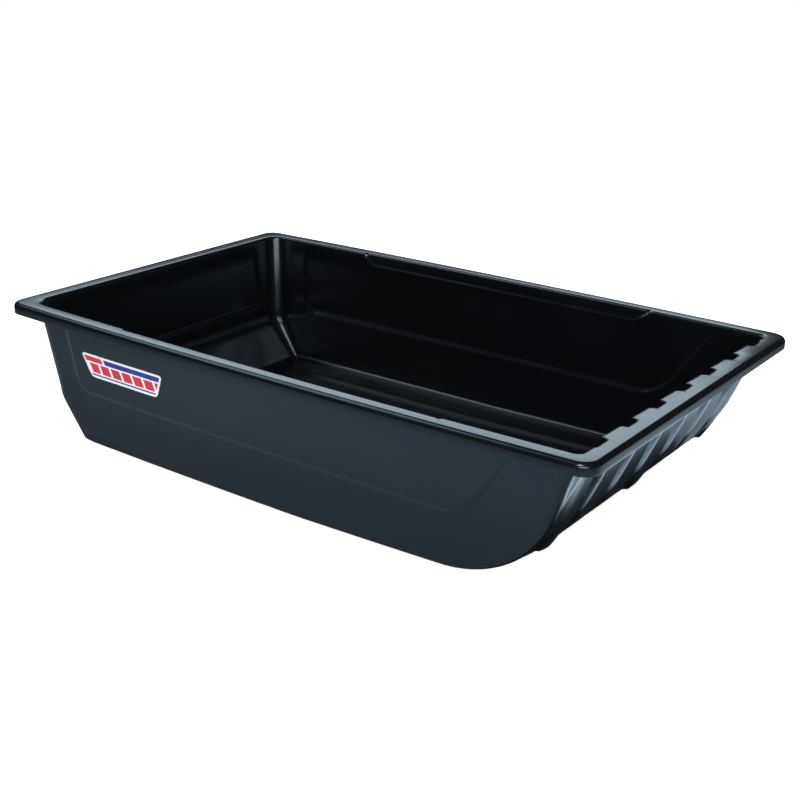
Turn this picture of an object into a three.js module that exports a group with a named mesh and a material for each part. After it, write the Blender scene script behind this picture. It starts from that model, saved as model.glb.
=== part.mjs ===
// Ice fishing sled: one moulded open tub with a rolled rim, and a printed film decal on its side.
// Millimetres. +X points to the bow, +Y to the far side, +Z up.
// The origin lies under the middle of the rim, at the level of the flat rib crests that the sled stands on.
import * as THREE from 'three';
import { mergeVertices } from 'three/addons/utils/BufferGeometryUtils.js';

// Tub
const rimLength = 1077;
const rimWidth = 646;
const sideBow = 9.3;
const hullHeight = 235.5;
const wall = 4;

// Rim
const rimCorner = 26;
const rimRound = 7.5;
const skirtDepth = 18;
const innerRound = 5.3;
const sternLedge = 28.5;
const sideLedge = 24;
const bowLedge = 23;

// Stern: the transom leans, and a slope joins it to the floor
const transomDepth = 165;
const transomRound = 26;
const slopeRound = 14;
const sternCorner = 35;
const slopeEdge = 15;

// Bow: the fore floor rises a little, then come one large round and a straight upright
const foreInset = 498.5;
const bowRound = 195;
const edgeRound = 12.5;
const crownHeight = 3;
const crownRun = 30;

// Ribs run along the floor and up the bow, and three of them have a toe on the bow
const ribPitch = 83;
const ribHeight = 2.8;
const ribTopHeight = 9.7;
const ribHalf = 40;
const ribTopHalf = 17.5;
const ribRiseDepth = 100;
const ribNarrowDepth = 150;
const ribRun = 30;
const toeHeight = 5;
const lineGap = 3;

// Panels and grips are pressed outward in the walls
const pressHeight = 2.5;
const pressRun = 8;
const panelSternInset = 111.5;
const panelBowInset = 112.5;
const panelFloorInset = 133.5;
const panelDepth = 135.5;
const panelCorner = 28;
const panelFadeFrom = 6;
const panelFadeTo = 34;
const gripSternInset = 252.5;
const gripBowInset = 226.5;
const gripDepth = 23;
const transomPanelHalf = 238;
const transomPanelDepth = 128;
const lowRoom = 24;

// Decal
const filmInset = 35;
const filmLength = 186;
const filmTop = 61;
const filmHeight = 40;
const filmSlant = 17;
const filmCorner = 8;
const filmThickness = 0.3;
const filmGap = 0.4;

// Angles in degrees
const rightAngle = 90;
const sideDraft = 6.6;
const transomLean = 7;
const slopeLean = 38;
const bowLean = 22.5;
const foreLean = 1.15;
const toeFootAngle = 47;
const toeTipAngle = 48.5;
const toeEndAngle = 60;
const crownFullAngle = 32;

// Shares of the sizes above, and counts
const ribFlatShare = 0.15;
const toeWidthShare = 0.42;
const middleShare = 0.5;
const ribsEachSide = 3;
const edgeSteps = 4;
const smallRoundSteps = 2;
const bowRoundSteps = 6;
const rimRoundSteps = 2;
const filmCornerSteps = 4;
const partsAmidships = 3;

const rad = THREE.MathUtils.degToRad;
const lerp = THREE.MathUtils.lerp;
const clamp = THREE.MathUtils.clamp;
const smooth = (share) => THREE.MathUtils.smoothstep(share, 0, 1);

// Places that follow from the sizes
const sternTop = sternLedge - rimLength / 2;
const bowTop = rimLength / 2 - bowLedge;
const wallHalf = rimWidth / 2 - sideLedge;
const foreStart = rimLength / 2 - foreInset;
const panelStern = panelSternInset - rimLength / 2;
const panelBow = rimLength / 2 - panelBowInset;
const panelFloorStern = panelFloorInset - rimLength / 2;
const gripStern = gripSternInset - rimLength / 2;
const gripBow = rimLength / 2 - gripBowInset;
const filmStern = panelStern + filmInset;
const filmBow = filmStern + filmLength;
const halfRun = pressRun / 2;
const transomAngle = transomLean - rightAngle;
const slopeAngle = slopeLean - rightAngle;
const bowAngle = rightAngle - bowLean;

// The outward direction of the side outline: 0 degrees faces down, 90 to the bow, -90 to the stern
function normalAt(angle) {
  return { x: Math.sin(rad(angle)), z: -Math.cos(rad(angle)) };
}

// Each long side bows outward, most at the middle
function bowOut(x) {
  const share = 2 * x / rimLength;
  return sideBow * (1 - share * share);
}

// Half the width of the tub's outside at a depth under the rim
function sideHalf(x, depth) {
  return wallHalf - depth * Math.tan(rad(sideDraft)) + bowOut(x);
}

function transomX(depth) {
  return sternTop + depth * Math.tan(rad(transomLean));
}

function bowX(depth) {
  return bowTop - depth * Math.tan(rad(bowLean));
}

function anglesBetween(from, to, steps) {
  return Array.from({ length: steps + 1 }, (_, i) => lerp(from, to, i / steps));
}

// A round between two straights of the side outline that would meet at a corner
function outlineRound(corner, angles, radius) {
  const half = (angles[angles.length - 1] - angles[0]) / 2;
  const middle = normalAt(angles[0] + half);
  const back = radius / Math.cos(rad(half));
  return angles.map((angle) => {
    const n = normalAt(angle);
    const x = corner.x - back * middle.x + radius * n.x;
    const depth = corner.depth + back * middle.z - radius * n.z;
    return { x, depth, angle };
  });
}

const slopeLength = (hullHeight - transomDepth) * Math.tan(rad(slopeLean));
const transomCorner = { x: transomX(transomDepth), depth: transomDepth };
const slopeCorner = { x: transomCorner.x + slopeLength, depth: hullHeight };
const foreRise = Math.tan(rad(foreLean));
const foreTopDepth = hullHeight - (bowTop - foreStart) * foreRise;
const bowDepth = foreTopDepth / (1 - Math.tan(rad(bowLean)) * foreRise);
const bowCorner = { x: bowX(bowDepth), depth: bowDepth };
const bowAngles = [
  ...anglesBetween(foreLean, toeFootAngle, bowRoundSteps),
  toeTipAngle, (toeTipAngle + toeEndAngle) / 2, toeEndAngle, bowAngle,
];
const transomArc = outlineRound(
  transomCorner, anglesBetween(transomAngle, slopeAngle, smallRoundSteps), transomRound);
const slopeArc = outlineRound(slopeCorner, anglesBetween(slopeAngle, 0, smallRoundSteps), slopeRound);
const bowArc = outlineRound(bowCorner, bowAngles, bowRound);
const floorStart = slopeArc[smallRoundSteps].x;
const floorEnd = bowArc[0].x;

// Where the columns of the side wall start on the rim, between the rounds of the stern and the bow
function columnTops() {
  const from = gripStern + gripDepth;
  const to = gripBow - gripDepth;
  const between = Array.from({ length: partsAmidships + 1 }, (_, i) => lerp(from, to, i / partsAmidships));
  return [
    panelStern - halfRun, panelStern + halfRun, gripStern - halfRun,
    ...between,
    gripBow + halfRun, panelBow - halfRun, panelBow + halfRun,
  ];
}

function floorUnder(top) {
  return lerp(panelFloorStern, floorEnd, (top - panelStern) / (panelBow - panelStern));
}

// Stations are places along the side outline, here those where a column of the side wall ends
function columnStations() {
  const tops = columnTops();
  const bowSide = bowTop - edgeRound / Math.cos(rad(bowLean));
  const sternPoints = [...transomArc, ...slopeArc];
  const stern = sternPoints.map((point, i) => ({
    ...point,
    edge: lerp(sternCorner, slopeEdge, i / (sternPoints.length - 1)),
    top: lerp(sternTop + sternCorner, tops[0], i / sternPoints.length),
  }));
  const floor = tops.slice(0, -1).map((top) => {
    const x = floorUnder(top);
    const fore = Math.max(x - foreStart, 0);
    return { x, depth: hullHeight - fore * foreRise, angle: fore > 0 ? foreLean : 0, edge: edgeRound, top };
  });
  const bow = bowArc.map((point, i) => ({
    ...point,
    edge: edgeRound,
    top: lerp(panelBow + halfRun, bowSide, i / (bowArc.length - 1)),
  }));
  return [...stern, ...floor, ...bow];
}

// Depths of the side wall's rows in a column with the given ends
function rowDepths(top, bottom) {
  const low = Math.min(panelDepth + halfRun, bottom - lowRoom);
  const fit = low / (panelDepth + halfRun);
  const steps = [gripDepth - halfRun, gripDepth + halfRun, panelDepth * middleShare, panelDepth - halfRun];
  return [top, ...steps.map((depth) => fit * depth), low, lerp(low, bottom, middleShare), bottom];
}

const rowCount = rowDepths(0, hullHeight).length;

// Stations of the transom or of the bow's upright, one level with each row of the side wall
function straightStations(xAt, corner, topDepth) {
  const depths = rowDepths(topDepth, corner.depth).slice(0, -1);
  return depths.map((depth) => ({ ...corner, x: xAt(depth), depth, level: true }));
}

function outlineStations(topDepth) {
  const columns = columnStations();
  const transom = straightStations(transomX, columns[0], topDepth);
  const upright = straightStations(bowX, columns[columns.length - 1], topDepth);
  return [...transom, ...columns, ...upright.reverse()];
}

// A toe stands out from its rib at the foot and runs out above
function toeAt(angle) {
  const foot = clamp((angle - toeFootAngle) / (toeTipAngle - toeFootAngle), 0, 1);
  const end = clamp((toeEndAngle - angle) / (toeEndAngle - toeTipAngle), 0, 1);
  return toeHeight * Math.min(foot, end);
}

// Sizes of the ribs at a station; they run in after the stern's slope
function ribSize(station) {
  const onBow = station.angle > 0;
  const rise = onBow ? smooth(1 - station.depth / ribRiseDepth) : 0;
  const narrow = onBow ? clamp(1 - station.depth / ribNarrowDepth, 0, 1) : 0;
  const run = smooth((station.x - floorStart) / ribRun);
  return {
    height: run * lerp(ribHeight, ribTopHeight, rise),
    half: lerp(ribHalf, ribTopHalf, narrow),
    toe: toeAt(station.angle),
  };
}

// How far the ribbed part of the bow stands out between its two side edges
function crownAt(station, y) {
  const room = sideHalf(station.x, station.depth) - station.edge - Math.abs(y);
  const turn = smooth((station.angle - foreLean) / (crownFullAngle - foreLean));
  return crownHeight * turn * smooth(room / crownRun) * smooth(station.depth / ribRiseDepth);
}

// How far the ribs put the surface outside the outline, which follows the ribs' crests
function ribRise(station, y) {
  const size = ribSize(station);
  const rib = clamp(Math.round(y / ribPitch), -ribsEachSide, ribsEachSide);
  const share = Math.abs(y - rib * ribPitch) / size.half;
  const flank = clamp((share - ribFlatShare) / (1 - ribFlatShare), 0, 1);
  const crown = clamp((toeWidthShare - share) / (toeWidthShare - ribFlatShare), 0, 1);
  const toe = rib % ribsEachSide === 0 ? crown * size.toe : 0;
  return crownAt(station, y) + toe - size.height * flank * flank;
}

// From 1 well inside the edge of a pressed area to 0 well outside it
function pressRamp(distance) {
  return smooth(middleShare - distance / pressRun);
}

// Distance outside an area that is open at the top and has round lower corners
function panelDistance(left, right, low, along, depth) {
  const over = Math.abs(along - (left + right) / 2) - (right - left) / 2 + panelCorner;
  const under = depth - low + panelCorner;
  const outside = Math.hypot(Math.max(over, 0), Math.max(under, 0));
  return outside + Math.min(Math.max(over, under), 0) - panelCorner;
}

function panelFade(depth) {
  return smooth((depth - panelFadeFrom) / (panelFadeTo - panelFadeFrom));
}

// How far the side wall is pressed outward, for a column's place on the rim and a depth
function sidePress(top, depth) {
  const panel = pressRamp(panelDistance(panelStern, panelBow, panelDepth, top, depth));
  const gripEnds = Math.max(gripStern - top, top - gripBow) + depth;
  const grip = pressRamp(Math.max(gripEnds, depth - gripDepth));
  return pressHeight * Math.max(panel * panelFade(depth), grip);
}

function transomPress(station, y) {
  if (station.angle > transomAngle) {
    return 0;
  }
  const distance = panelDistance(-transomPanelHalf, transomPanelHalf, transomPanelDepth, y, station.depth);
  return pressHeight * pressRamp(distance) * panelFade(station.depth);
}

// A point at a station, moved outward; at a level station it keeps its height
function outlinePoint(station, y, out) {
  const n = normalAt(station.angle);
  if (station.level) {
    return new THREE.Vector3(station.x + out / n.x, y, hullHeight - station.depth);
  }
  return new THREE.Vector3(station.x + out * n.x, y, hullHeight - station.depth + out * n.z);
}

// The round from the outline to the side wall at a station, on one side, moved inward by an inset
function edgePoints(station, side, inset) {
  const draft = -normalAt(station.angle).z * Math.tan(rad(sideDraft));
  const slant = station.level ? 0 : Math.atan(draft);
  const lift = ribRise(station, sideHalf(station.x, station.depth) - station.edge);
  const foot = outlinePoint(station, 0, lift - station.edge * (1 - Math.sin(slant)));
  const half = sideHalf(foot.x, hullHeight - foot.z) - station.edge * Math.cos(slant);
  const radius = station.edge - inset;
  return Array.from({ length: edgeSteps + 1 }, (_, i) => {
    const turn = lerp(0, rad(rightAngle) - slant, i / edgeSteps);
    const y = side * (half + radius * Math.sin(turn));
    return outlinePoint(station, y, lift - station.edge + radius * Math.cos(turn));
  });
}

// Lines along the ribs at a station, kept clear of the edge rounds
function ribLines(station, half) {
  const size = ribSize(station);
  const lines = [];
  for (let rib = -ribsEachSide; rib <= ribsEachSide; rib++) {
    const flat = [-ribFlatShare, ribFlatShare];
    const inner = rib % ribsEachSide === 0 ? [-toeWidthShare, ...flat, toeWidthShare] : flat;
    [-1, ...inner, 1].forEach((share) => lines.push(rib * ribPitch + share * size.half));
  }
  return lines.map((y, i) => {
    const rank = Math.min(i, lines.length - 1 - i) + 1;
    const room = half - rank * lineGap;
    return clamp(y, -room, room);
  });
}

function sheetRow(station, near, far, inset) {
  const middle = ribLines(station, far.y).map((y) => {
    const out = ribRise(station, y) + transomPress(station, y) - inset;
    return outlinePoint(station, y, out);
  });
  return [near, ...middle, far];
}

// One column of the side wall, from the rim down to the edge round
function sideColumn(station, foot, side, inset, topDepth) {
  const footDepth = hullHeight - foot.z;
  const depths = rowDepths(topDepth, footDepth).slice(0, -1);
  const points = depths.map((depth) => {
    const x = lerp(station.top, foot.x, (depth - topDepth) / (footDepth - topDepth));
    const half = sideHalf(x, depth) + sidePress(station.top, depth) - inset;
    return new THREE.Vector3(x, side * half, hullHeight - depth);
  });
  return [...points, foot];
}

// The edge rounds and the side wall of one side
function sidePatches(stations, side, inset, topDepth) {
  const edge = stations.map((station) => edgePoints(station, side, inset));
  const feet = edge.map((points) => points[edgeSteps]);
  const columns = feet.map((foot, i) => sideColumn(stations[i], foot, side, inset, topDepth));
  const sternEnd = feet.slice(0, rowCount);
  const bowEnd = feet.slice(-rowCount).reverse();
  return { edge, wall: [sternEnd, ...columns.slice(rowCount, -rowCount), bowEnd] };
}

// The outside or the inside of the tub, up to the rim
function makeSkin(inset, topDepth) {
  const stations = outlineStations(topDepth);
  const near = sidePatches(stations, -1, inset, topDepth);
  const far = sidePatches(stations, 1, inset, topDepth);
  const sheet = stations.map((station, i) => sheetRow(station, near.edge[i][0], far.edge[i][0], inset));
  return { sheet, near, far };
}

// One row of a skin all the way round, anticlockwise from above, as four edges and four corners
function skinLoop({ sheet, near, far }, row) {
  const last = sheet.length - 1 - row;
  const corner = (side, i) => side.edge[i].slice(1, -1);
  const wallRow = (side) => side.wall.map((column) => column[row]);
  return [
    [...sheet[row]].reverse(), corner(near, row),
    wallRow(near), corner(near, last).reverse(),
    sheet[last], corner(far, last),
    wallRow(far).reverse(), corner(far, row).reverse(),
  ];
}

// Moves a value from one span to another
function refit(value, from, to, low, high) {
  return lerp(low, high, (value - from) / (to - from));
}

// The rim's outline, point for point beside the edges and corners of a skin's loop
function rimPlaces(loop) {
  const endX = rimLength / 2;
  const cornerX = endX - rimCorner;
  const cornerY = rimWidth / 2 + bowOut(cornerX) - rimCorner;
  const endEdge = (points, end) => points.map((point) => {
    const y = refit(point.y, points[0].y, points[points.length - 1].y, -end * cornerY, end * cornerY);
    return { x: end * endX, y, out: new THREE.Vector3(end, 0, 0) };
  });
  const sideEdge = (points, side) => points.map((point) => {
    const x = refit(point.x, points[0].x, points[points.length - 1].x, side * cornerX, -side * cornerX);
    return { x, y: side * (rimWidth / 2 + bowOut(x)), out: new THREE.Vector3(0, side, 0) };
  });
  const cornerArc = (points, quarter) => points.map((_, i) => {
    const turn = rad(rightAngle) * (quarter + (i + 1) / edgeSteps);
    const out = new THREE.Vector3(Math.cos(turn), Math.sin(turn), 0);
    const x = Math.sign(out.x) * cornerX + rimCorner * out.x;
    const y = Math.sign(out.y) * cornerY + rimCorner * out.y;
    return { x, y, out };
  });
  return [
    ...endEdge(loop[0], -1), ...cornerArc(loop[1], 2),
    ...sideEdge(loop[2], -1), ...cornerArc(loop[3], 3),
    ...endEdge(loop[4], 1), ...cornerArc(loop[5], 0),
    ...sideEdge(loop[6], 1), ...cornerArc(loop[7], 1),
  ];
}

// Rings of the rim, from the outside of the tub over the flange to its inside
function rimRings(outer, inner) {
  const loop = skinLoop(outer, 0);
  const places = rimPlaces(loop);
  const at = (inset, depth) => places.map(({ x, y, out }) => (
    new THREE.Vector3(x, y, hullHeight - depth).addScaledVector(out, -inset)));
  const round = [];
  for (let i = 0; i <= rimRoundSteps; i++) {
    const turn = (rad(rightAngle) * i) / rimRoundSteps;
    round.push(at(rimRound * (1 - Math.cos(turn)), rimRound * (1 - Math.sin(turn))));
  }
  const innerTop = skinLoop(inner, 0).flat();
  const innerNext = skinLoop(inner, 1).flat();
  const crossing = innerTop.map((point, i) => {
    const share = innerRound / (point.z - innerNext[i].z);
    return point.clone().lerp(innerNext[i], -share);
  });
  const flatEdge = crossing.map((point, i) => point.clone().addScaledVector(places[i].out, innerRound));
  const fillet = crossing.map((point, i) => {
    const chord = innerTop[i].clone().lerp(flatEdge[i], middleShare);
    return chord.lerp(point, middleShare);
  });
  return [
    loop.flat(),
    at(wall, wall),
    at(wall, skirtDepth),
    at(0, skirtDepth),
    ...round,
    flatEdge,
    fillet,
    innerTop,
  ];
}

// Triangles of a grid of points
function grid(rows, flip) {
  const points = [];
  for (let i = 0; i < rows.length - 1; i++) {
    for (let j = 0; j < rows[i].length - 1; j++) {
      const [a, b] = [rows[i][j], rows[i][j + 1]];
      const [c, d] = [rows[i + 1][j], rows[i + 1][j + 1]];
      points.push(a, b, c, b, d, c);
    }
  }
  return flip ? points.reverse() : points;
}

function skinTriangles({ sheet, near, far }, flip) {
  return [
    ...grid(sheet, flip),
    ...grid(near.edge, !flip),
    ...grid(near.wall, flip),
    ...grid(far.edge, flip),
    ...grid(far.wall, !flip),
  ];
}

function makeMesh(name, points, material) {
  const geometry = mergeVertices(new THREE.BufferGeometry().setFromPoints(points));
  geometry.computeVertexNormals();
  const mesh = new THREE.Mesh(geometry, material);
  mesh.name = name;
  return mesh;
}

function makeHull() {
  const outer = makeSkin(0, wall);
  const inner = makeSkin(wall, innerRound);
  const rings = rimRings(outer, inner).map((ring) => [...ring, ring[0]]);
  const points = [...skinTriangles(outer, false), ...skinTriangles(inner, true), ...grid(rings, false)];
  return makeMesh('hull', points, makePlastic());
}

function between(from, to, share) {
  return { x: lerp(from.x, to.x, share), depth: lerp(from.depth, to.depth, share) };
}

// The decal's outline on the wall, as places along the side and depths
function filmOutline() {
  const corners = [
    { x: filmStern, depth: filmTop },
    { x: filmStern + filmSlant, depth: filmTop + filmHeight },
    { x: filmBow - filmSlant, depth: filmTop + filmHeight },
    { x: filmBow, depth: filmTop },
  ];
  return corners.flatMap((corner, i) => {
    const sides = [corners.at(i - 1), corners[(i + 1) % corners.length]];
    const [before, after] = sides.map((end) => {
      const length = Math.hypot(end.x - corner.x, end.depth - corner.depth);
      return between(corner, end, filmCorner / length);
    });
    return Array.from({ length: filmCornerSteps + 1 }, (_, step) => {
      const share = step / filmCornerSteps;
      return between(between(before, corner, share), between(corner, after, share), share);
    });
  });
}

function makeDecal() {
  const outline = filmOutline();
  const middle = { x: (filmStern + filmBow) / 2, depth: filmTop + filmHeight / 2 };
  const onWall = ({ x, depth }, height) => {
    const half = sideHalf(x, depth) + pressHeight + height;
    return new THREE.Vector3(x, -half, hullHeight - depth);
  };
  const points = outline.flatMap((place, i) => {
    const next = outline[(i + 1) % outline.length];
    const [a, b, c] = [place, next, middle].map((spot) => onWall(spot, filmGap));
    const [d, e, f] = [place, next, middle].map((spot) => onWall(spot, filmGap + filmThickness));
    return [a, b, d, b, e, d, d, e, f, b, a, c];
  });
  return makeMesh('side_decal', points, makeFilm());
}

function makePlastic() {
  return new THREE.MeshStandardMaterial({ color: '#303338', roughness: 0.45, metalness: 0 });
}

function makeFilm() {
  return new THREE.MeshStandardMaterial({ color: '#e6e6ea', roughness: 0.35, metalness: 0 });
}

export default new THREE.Group().add(makeHull(), makeDecal());
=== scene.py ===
"""Dresses the ice fishing sled: a moulded charcoal tub with pressed ribs, and a printed decal."""

import logging
import math
from dataclasses import dataclass, field, replace
from enum import Enum
from functools import cached_property
from typing import Any, Sequence

import bpy
from mathutils import Matrix, Vector


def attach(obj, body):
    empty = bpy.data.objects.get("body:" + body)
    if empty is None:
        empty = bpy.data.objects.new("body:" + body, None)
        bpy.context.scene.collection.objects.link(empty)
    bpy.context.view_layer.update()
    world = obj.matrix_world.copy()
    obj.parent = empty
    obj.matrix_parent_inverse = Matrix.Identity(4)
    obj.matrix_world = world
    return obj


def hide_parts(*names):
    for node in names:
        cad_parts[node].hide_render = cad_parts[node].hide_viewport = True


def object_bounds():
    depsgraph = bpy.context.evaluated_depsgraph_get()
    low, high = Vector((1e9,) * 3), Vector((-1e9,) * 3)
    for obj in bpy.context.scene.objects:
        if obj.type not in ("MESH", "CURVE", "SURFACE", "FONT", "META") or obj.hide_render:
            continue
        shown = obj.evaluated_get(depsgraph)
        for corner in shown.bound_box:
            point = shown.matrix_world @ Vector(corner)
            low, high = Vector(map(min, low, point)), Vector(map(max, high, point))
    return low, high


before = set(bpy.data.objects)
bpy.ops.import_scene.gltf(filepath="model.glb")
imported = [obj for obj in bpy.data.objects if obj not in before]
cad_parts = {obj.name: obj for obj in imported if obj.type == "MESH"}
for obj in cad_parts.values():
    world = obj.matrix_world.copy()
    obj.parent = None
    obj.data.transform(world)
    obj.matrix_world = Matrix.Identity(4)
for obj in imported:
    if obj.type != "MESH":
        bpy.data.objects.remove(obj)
CAD_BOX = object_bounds()

log = logging.getLogger("sled")
MM = 0.001
RIGHT_ANGLE = math.pi / 2

Colour = tuple[float, float, float, float]
Span = tuple[float, float]
Place = tuple[float, float, float]
Arc = list[Place]


def clamp(share: float) -> float:
    """Keeps a share between 0 and 1."""
    return min(max(share, 0.0), 1.0)


def smooth(share: float) -> float:
    """Eases a share from 0 to 1."""
    s = clamp(share)
    return s * s * (3.0 - 2.0 * s)


def mix(a: float, b: float, share: float) -> float:
    """Returns the value a share of the way from a to b."""
    return a + (b - a) * share


def spread(start: float, stop: float, count: int) -> list[float]:
    """Splits a span into equal steps.

    Args:
        start: first value, which is kept.
        stop: last value, which is left out.
        count: number of steps.

    Returns:
        The values from start up to, but without, stop.
    """
    return [mix(start, stop, i / count) for i in range(count)]


def divide(marks: Sequence[float], counts: Sequence[int]) -> list[float]:
    """Splits the span after each mark into its own number of equal steps.

    Args:
        marks: the ends of the spans, in order.
        counts: number of steps in each span.

    Returns:
        The values from the first mark up to, but without, the last.
    """
    spans = zip(marks, marks[1:], counts)
    return [value for low, high, count in spans for value in spread(low, high, count)]


class Side(Enum):
    """The two long sides, by the sign of Y."""

    NEAR = -1
    FAR = 1


@dataclass(frozen=True)
class Station:
    """A place along the side outline, with what lies across the sled there."""

    x: float
    depth: float
    angle: float
    edge: float
    top: float = 0.0
    level: float = 0.0

    def normal(self) -> Span:
        """Returns the outward direction in X and Z."""
        return math.sin(self.angle), -math.cos(self.angle)

    def out(self) -> Vector:
        """Finds the way a point moves for one unit outward.

        Returns:
            The direction; at level 1 it keeps the point's height.
        """
        nx, nz = self.normal()
        along = Vector((nx, 0.0, nz))
        return along.lerp(Vector((1.0 / nx, 0.0, 0.0)), self.level) if self.level else along


@dataclass(frozen=True)
class Spot:
    """A vertex before the ribs are pressed, with the rib values that move it."""

    co: Vector
    out: Vector = Vector((0.0, 0.0, 0.0))
    across: float = 0.0
    height: float = 0.0
    half: float = 1.0
    toe: float = 0.0

    def moved(self, co: Vector) -> "Spot":
        """Returns a spot at another place with the same rib values."""
        return replace(self, co=co)


Grid = list[list[Spot]]
RIB_VALUES = ("across", "height", "half", "toe")


@dataclass(frozen=True)
class Skin:
    """The outside or the inside of the tub as grids of spots."""

    sheet: Grid
    edges: dict[Side, Grid]
    walls: dict[Side, Grid]


@dataclass(frozen=True)
class RibSizes:
    """Sizes of the long ribs and of the toes that three of them have."""

    pitch: float = 83 * MM
    height: float = 2.8 * MM
    top_height: float = 9.7 * MM
    half: float = 41.5 * MM
    top_half: float = 20 * MM
    rise_foot: float = math.radians(18)
    rise_turn: float = math.radians(27)
    narrow_depth: float = 150 * MM
    run: float = 30 * MM
    toe_height: float = 5 * MM
    toe_foot: float = math.radians(47)
    toe_tip: float = math.radians(48.5)
    toe_end: float = math.radians(60)
    flat_share: float = 0.66
    toe_flat_share: float = 0.3
    toe_share: float = 0.42
    valley_power: float = 1.8
    each_side: int = 3

    def toe(self, angle: float) -> float:
        """Measures a toe on the bow's round.

        Args:
            angle: outward angle of the place.

        Returns:
            How far the toe stands out there.
        """
        foot = clamp((angle - self.toe_foot) / (self.toe_tip - self.toe_foot))
        end = clamp((self.toe_end - angle) / (self.toe_end - self.toe_tip))
        return self.toe_height * min(foot, end)


@dataclass(frozen=True)
class PressSizes:
    """Sizes of the panels and grips that are pressed outward in the walls."""

    height: float = 2.9 * MM
    run: float = 11 * MM
    stern: float = -427 * MM
    bow: float = 426 * MM
    floor_stern: float = -405 * MM
    depth: float = 135.5 * MM
    stern_corner: float = 26 * MM
    bow_corner: float = 40 * MM
    fade_from: float = 6 * MM
    fade_to: float = 34 * MM
    grip_stern: float = -286 * MM
    grip_bow: float = 312 * MM
    grip_depth: float = 23 * MM
    grip_run: float = 7 * MM
    transom_half: float = 238 * MM
    transom_depth: float = 128 * MM

    def ramp(self, distance: float, run: float) -> float:
        """Returns 1 well inside the edge of a pressed area and 0 well outside it."""
        return smooth(0.5 - distance / run)

    def distance(self, ends: Span, bottom: float, place: Span, corners: Span) -> float:
        """Measures how far a place lies outside an area that is open at the top.

        Args:
            ends: where the area starts and ends along the wall.
            bottom: depth of its lower edge.
            place: the place along the wall, and its depth.
            corners: radii of the lower corners at the start and at the end.

        Returns:
            The distance, negative inside the area.
        """
        middle = (ends[0] + ends[1]) / 2
        radius = corners[0] if place[0] < middle else corners[1]
        over = abs(place[0] - middle) - (ends[1] - ends[0]) / 2 + radius
        under = place[1] - bottom + radius
        outside = math.hypot(max(over, 0.0), max(under, 0.0))
        return outside + min(max(over, under), 0.0) - radius

    def fade(self, depth: float) -> float:
        """Returns how far a panel is full below the rim."""
        return smooth((depth - self.fade_from) / (self.fade_to - self.fade_from))

    def side(self, along: float, depth: float) -> float:
        """Measures the press of the side wall.

        Args:
            along: place along the rim, amidships at 0.
            depth: depth under the rim.

        Returns:
            How far the wall is pressed outward.
        """
        corners = (self.stern_corner, self.bow_corner)
        away = self.distance((self.stern, self.bow), self.depth, (along, depth), corners)
        panel = self.ramp(away, self.run) * self.fade(depth)
        ends = max(self.grip_stern - along, along - self.grip_bow) + depth
        grip = self.ramp(max(ends, depth - self.grip_depth), self.grip_run)
        return self.height * max(panel, grip)

    def transom(self, across: float, depth: float) -> float:
        """Measures the press of the transom.

        Args:
            across: place across the sled.
            depth: depth under the rim.

        Returns:
            How far the transom is pressed outward.
        """
        corners = (self.stern_corner, self.stern_corner)
        ends = (-self.transom_half, self.transom_half)
        away = self.distance(ends, self.transom_depth, (across, depth), corners)
        return self.height * self.ramp(away, self.run) * self.fade(depth)


@dataclass(frozen=True)
class RimSizes:
    """Sizes of the rolled rim."""

    length: float = 1077 * MM
    width: float = 646 * MM
    widest: float = CAD_BOX[1][1] - 0.01 * MM
    corner: float = 26 * MM
    round: float = 7.5 * MM
    skirt: float = 18 * MM
    lip: float = 1.2 * MM
    inner: float = 5.3 * MM
    inner_bend: float = 3 * MM
    round_steps: int = 10
    small_steps: int = 6


@dataclass(frozen=True)
class TubSizes:
    """Sizes of the tub under the rim."""

    height: float = 235.5 * MM
    wall: float = 4 * MM
    side_bow: float = 9.3 * MM
    draft: float = math.radians(6.6)
    side_ledge: float = 24 * MM
    stern_ledge: float = 28.5 * MM
    bow_ledge: float = 23 * MM
    transom_lean: float = math.radians(7)
    transom_depth: float = 165 * MM
    transom_round: float = 60 * MM
    slope_lean: float = math.radians(38)
    slope_round: float = 14 * MM
    stern_corner: float = 35 * MM
    slope_edge: float = 15 * MM
    fore_start: float = 40 * MM
    fore_ease: float = 20 * MM
    fore_lean: float = math.radians(1.15)
    bow_lean: float = math.radians(22.5)
    bow_round: float = 195 * MM
    crown: float = 3 * MM
    crown_run: float = 30 * MM
    crown_fade: float = 100 * MM
    crown_full: float = math.radians(32)
    edge: float = 12.5 * MM
    line_gap: float = 1.2 * MM


@dataclass(frozen=True)
class MeshSteps:
    """How finely the tub's mesh is cut, and how far each fine cut reaches."""

    edge: int = 9
    transom_round: int = 7
    slope: int = 8
    slope_round: int = 6
    bow_round: tuple[int, ...] = (20, 3, 7, 3)
    columns: tuple[int, ...] = (6, 10, 7, 12, 22, 12, 5, 14, 6)
    rows: tuple[int, ...] = (6, 6, 14, 7)
    foot_rows: int = 6
    rim_rows: tuple[float, ...] = (7.5 * MM, 10 * MM, 13 * MM, 16 * MM)
    stern_reach: float = 40 * MM
    grip_reach: float = 32 * MM
    bow_reach: float = 46 * MM
    grip_row_reach: float = 4 * MM
    panel_reach: float = 44 * MM
    foot_reach: float = 24 * MM
    crest_shares: tuple[float, ...] = (0.15,)
    toe_shares: tuple[float, ...] = (0.56,)
    flank_shares: tuple[float, ...] = (0.71, 0.76, 0.82, 0.88, 0.94, 1.0)
    sharp: float = math.radians(15)


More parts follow.
